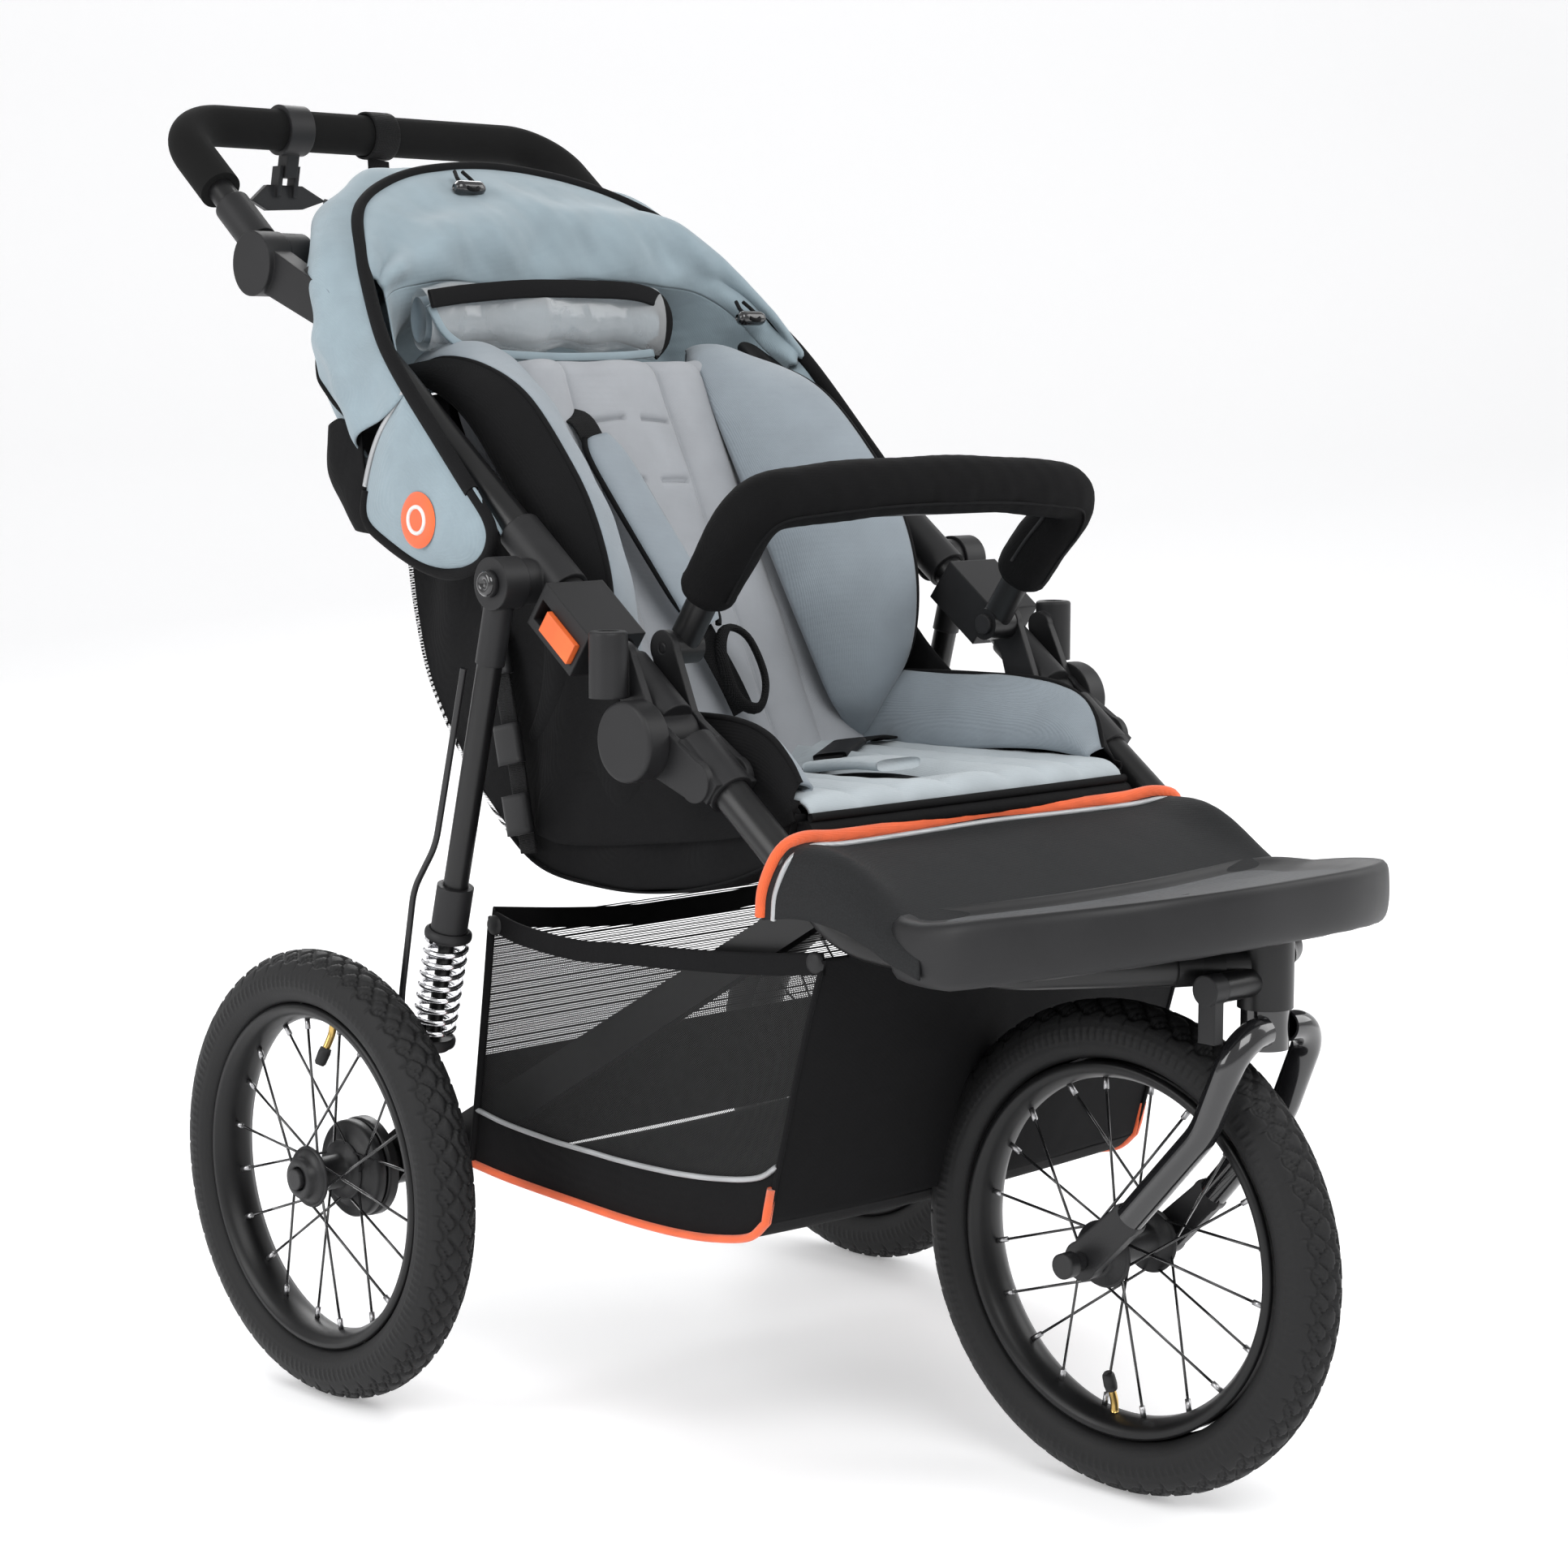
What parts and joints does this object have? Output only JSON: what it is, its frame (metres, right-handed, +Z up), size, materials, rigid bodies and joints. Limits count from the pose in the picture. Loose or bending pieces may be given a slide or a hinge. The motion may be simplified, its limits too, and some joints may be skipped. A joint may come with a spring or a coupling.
{
  "type": "baby stroller",
  "caption": "Three-wheel jogging stroller with padded seat, gathered sun hood, folding tube frame, sprung rear swing arm, bumper bar, storage basket and foam push handle.",
  "frame": {"origin": "on the floor under the middle of the overall box", "axes": "+Z up, the stroller faces -Y, +X is its left side for the person pushing"},
  "size_m": [0.642, 1.094, 1.0185],
  "materials": {
    "frame_black": "satin powder coat",
    "housing_black": "fine moulded grain",
    "gloss_black": "gloss",
    "steel": "brushed",
    "chrome": "bright",
    "aluminium": "satin",
    "tyre": "moulded tread",
    "rim_black": "moulded",
    "foam_grip": "closed-cell foam",
    "orange": "moulded",
    "hood_cloth": "woven, gathered",
    "seat_cloth": "padded, sewn channels",
    "black_cloth": "woven",
    "mesh_black": "open mesh",
    "board": "sheet",
    "cable": "satin jacket"
  },
  "bodies": {
    "root": {"lower_side_tubes": "frame_black", "lower_fold_housings": "housing_black", "frame_pivot_pins": "steel", "fold_joint_caps": "housing_black", "head_tube": "frame_black", "footrest_tray": "housing_black", "calf_panel": "black_cloth", "basket": "mesh_black", "basket_liner": "board", "seat_base_pad": "seat_cloth", "seat_skirt": "black_cloth", "harness_buckle": "housing_black"},
    "upper_frame": {"upper_side_tubes": "frame_black", "upper_fold_housings": "housing_black", "latch_housings": "housing_black", "leg_pivot_brackets": "housing_black", "upper_pivot_pins": "steel", "handle_hinge_sockets": "housing_black", "hood_canopy": "hood_cloth"},
    "fold_catch": {"fold_catches": "orange"},
    "rear_legs": {"rear_leg_fittings": "housing_black", "rear_leg_tubes": "frame_black", "suspension_springs": "chrome", "brake_cables": "cable"},
    "struts": {"strut_rods": "chrome"},
    "swing_arm": {"swing_arms": "frame_black", "swing_pivot_bushes": "housing_black", "rear_axle": "frame_black", "brake_carriers": "frame_black"},
    "rear_wheel_left": {"rear_tyre_left": "tyre", "rear_rim_left": "rim_black", "rear_hub_left": "housing_black"},
    "rear_wheel_right": {"rear_tyre_right": "tyre", "rear_rim_right": "rim_black", "rear_hub_right": "housing_black"},
    "release_left": {"hub_release_button_left": "chrome"},
    "release_right": {"hub_release_button_right": "chrome"},
    "front_fork": {"fork": "gloss_black", "fork_dropouts": "aluminium", "front_axle": "steel"},
    "front_wheel": {"front_tyre": "tyre", "front_rim": "rim_black", "front_hub": "housing_black"},
    "front_release": {"front_release_knob": "chrome"},
    "swivel_lock": {"swivel_lock_lever": "housing_black"},
    "handle": {"handle_hinge_hubs": "housing_black", "handle_tube": "frame_black", "handle_grip": "foam_grip", "brake_lever_clamp": "housing_black", "brake_cable_handle": "cable"},
    "hand_brake": {"brake_lever": "housing_black"},
    "bumper": {"bumper_bar": "frame_black", "bumper_cover": "black_cloth"},
    "bumper_release_left": {"bumper_button_left": "housing_black"},
    "bumper_release_right": {"bumper_button_right": "housing_black"},
    "seat_back": {"seat_back_board": "board", "seat_back_pad": "seat_cloth", "rear_sling": "mesh_black"},
    "buckle_release": {"buckle_button": "housing_black"},
    "hood_bow": {"hood_front_bow": "frame_black"}
  },
  "joints": [
    {"name": "frame_fold", "type": "hinge", "parent": "root", "child": "upper_frame", "pos_m": [0, -0.10253, 0.53], "axis": [-1, 0, 0], "range_deg": [0, 150], "deforming": ["hood_canopy", "basket", "rear_sling"]},
    {"name": "leg_fold", "type": "hinge", "parent": "upper_frame", "child": "rear_legs", "pos_m": [0, 0.03147, 0.636], "axis": [-1, 0, 0], "range_deg": [-101.2, 0]},
    {"name": "arm_fold", "type": "hinge", "parent": "root", "child": "swing_arm", "pos_m": [0, -0.25153, 0.432], "axis": [-1, 0, 0], "range_deg": [0, 82]},
    {"name": "strut_travel", "type": "slide", "parent": "rear_legs", "child": "struts", "axis": [0, -0.2549, 0.967], "range_m": [0, 0.0145], "stiffness_N_per_m": 9000, "springref_m": -0.004, "deforming": ["suspension_springs"]},
    {"name": "rear_wheel_spin_left", "type": "hinge", "parent": "swing_arm", "child": "rear_wheel_left", "pos_m": [0.291, 0.19547, 0.1745], "axis": [1, 0, 0], "continuous": true},
    {"name": "rear_wheel_spin_right", "type": "hinge", "parent": "swing_arm", "child": "rear_wheel_right", "pos_m": [-0.291, 0.19547, 0.1745], "axis": [1, 0, 0], "continuous": true},
    {"name": "hub_release_left", "type": "slide", "parent": "rear_wheel_left", "child": "release_left", "axis": [-1, 0, 0], "range_m": [0, 0.0015], "stiffness_N_per_m": 800},
    {"name": "hub_release_right", "type": "slide", "parent": "rear_wheel_right", "child": "release_right", "axis": [1, 0, 0], "range_m": [0, 0.0015], "stiffness_N_per_m": 800},
    {"name": "front_swivel", "type": "hinge", "parent": "root", "child": "front_fork", "pos_m": [0, -0.48453, 0.35], "axis": [0, 0, 1], "continuous": true},
    {"name": "front_wheel_spin", "type": "hinge", "parent": "front_fork", "child": "front_wheel", "pos_m": [-0.00597, -0.37069, 0.1765], "axis": [0.9986, 0.0523, 0], "continuous": true},
    {"name": "front_axle_release", "type": "slide", "parent": "front_fork", "child": "front_release", "axis": [-0.9986, -0.0523, 0], "range_m": [0, 0.003], "stiffness_N_per_m": 800},
    {"name": "swivel_lock_turn", "type": "hinge", "parent": "root", "child": "swivel_lock", "pos_m": [-0.057, -0.48453, 0.383], "axis": [1, 0, 0], "range_deg": [0, 60]},
    {"name": "handle_height", "type": "hinge", "parent": "upper_frame", "child": "handle", "pos_m": [0, 0.37347, 0.876], "axis": [1, 0, 0], "range_deg": [-50, 30]},
    {"name": "brake_squeeze", "type": "hinge", "parent": "handle", "child": "hand_brake", "pos_m": [-0.08, 0.53147, 0.963], "axis": [1, 0, 0], "range_deg": [0, 18], "stiffness_Nm_per_rad": 0.6},
    {"name": "bumper_lift", "type": "hinge", "parent": "root", "child": "bumper", "pos_m": [0, -0.07953, 0.592], "axis": [1, 0, 0], "range_deg": [-15, 45]},
    {"name": "bumper_press_left", "type": "slide", "parent": "bumper", "child": "bumper_release_left", "axis": [1, 0, 0], "range_m": [0, 0.002], "stiffness_N_per_m": 600},
    {"name": "bumper_press_right", "type": "slide", "parent": "bumper", "child": "bumper_release_right", "axis": [-1, 0, 0], "range_m": [0, 0.002], "stiffness_N_per_m": 600},
    {"name": "catch_pull", "type": "slide", "parent": "upper_frame", "child": "fold_catch", "axis": [0, 0.7994, 0.6008], "range_m": [0, 0.012], "stiffness_N_per_m": 500, "springref_m": -0.004},
    {"name": "seat_recline", "type": "hinge", "parent": "root", "child": "seat_back", "pos_m": [0, 0.04547, 0.428], "axis": [-1, 0, 0], "range_deg": [0, 35]},
    {"name": "buckle_press", "type": "slide", "parent": "root", "child": "buckle_release", "axis": [0, -0.1618, -0.9868], "range_m": [0, 0.0015], "stiffness_N_per_m": 500},
    {"name": "hood_open", "type": "hinge", "parent": "upper_frame", "child": "hood_bow", "pos_m": [0, 0.0591, 0.67232], "axis": [1, 0, 0], "range_deg": [0, 50]}
  ],
  "couplings": [
    {"joint": "leg_fold", "follows": "frame_fold", "ratio": -0.67337},
    {"joint": "arm_fold", "follows": "frame_fold", "ratio": 0.54564}
  ]
}
